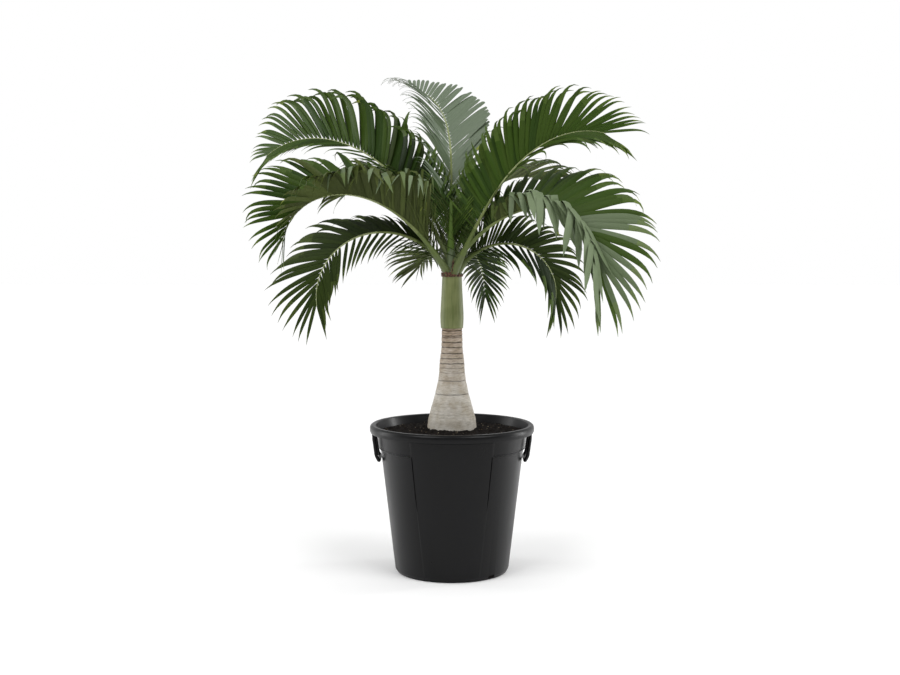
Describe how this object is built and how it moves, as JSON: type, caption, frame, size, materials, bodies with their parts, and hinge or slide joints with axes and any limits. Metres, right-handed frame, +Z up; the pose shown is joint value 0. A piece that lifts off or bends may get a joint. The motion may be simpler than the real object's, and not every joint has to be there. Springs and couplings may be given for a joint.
{
  "type": "potted carpoxylon palm",
  "caption": "Feather palm with a swollen ringed trunk, smooth green crownshaft and arched fronds, growing in a round black nursery tub with side handles.",
  "frame": {"origin": "middle of the tub's flat underside, on the trunk's axis", "axes": "+Z up along the trunk, -Y towards the front of the plant, +X to its right seen from the front"},
  "size_m": [1.2445, 0.9207, 1.5285],
  "materials": {
    "tub_plastic": "satin black injection-moulded plastic",
    "potting_soil": "dark crumbly potting soil with pale grit",
    "ringed_bark": "grey-tan trunk with dark ring scars",
    "waxy_crownshaft": "smooth waxy green leaf sheath",
    "sheath_fibre": "dry red-brown sheath fibre",
    "frond_leaf": "leathery dark green leaflets on a paler rib"
  },
  "bodies": {
    "root": {"pot": "tub_plastic", "handle_left": "tub_plastic", "handle_right": "tub_plastic", "soil": "potting_soil", "trunk": "ringed_bark", "crownshaft": "waxy_crownshaft", "crown_heart": "waxy_crownshaft", "collar": "sheath_fibre", "frond_front_right_high_inner": "frond_leaf", "frond_front_right_high_outer": "frond_leaf", "frond_front_left_middle_inner": "frond_leaf", "frond_front_left_middle_outer": "frond_leaf", "frond_right_low_inner": "frond_leaf", "frond_right_low_outer": "frond_leaf", "frond_left_low_inner": "frond_leaf", "frond_left_low_outer": "frond_leaf", "frond_rear_right_drooping": "frond_leaf", "frond_rear_left_drooping": "frond_leaf", "frond_front_right_middle_inner": "frond_leaf", "frond_front_right_middle_outer": "frond_leaf", "frond_left_high_inner": "frond_leaf", "frond_left_high_outer": "frond_leaf", "frond_rear_left_high_inner": "frond_leaf", "frond_rear_left_high_outer": "frond_leaf", "frond_rear_right_high_inner": "frond_leaf", "frond_rear_right_high_outer": "frond_leaf", "frond_rear_middle_inner": "frond_leaf", "frond_rear_middle_outer": "frond_leaf", "frond_top_centre_inner": "frond_leaf", "frond_top_centre_outer": "frond_leaf"}
  },
  "joints": []
}
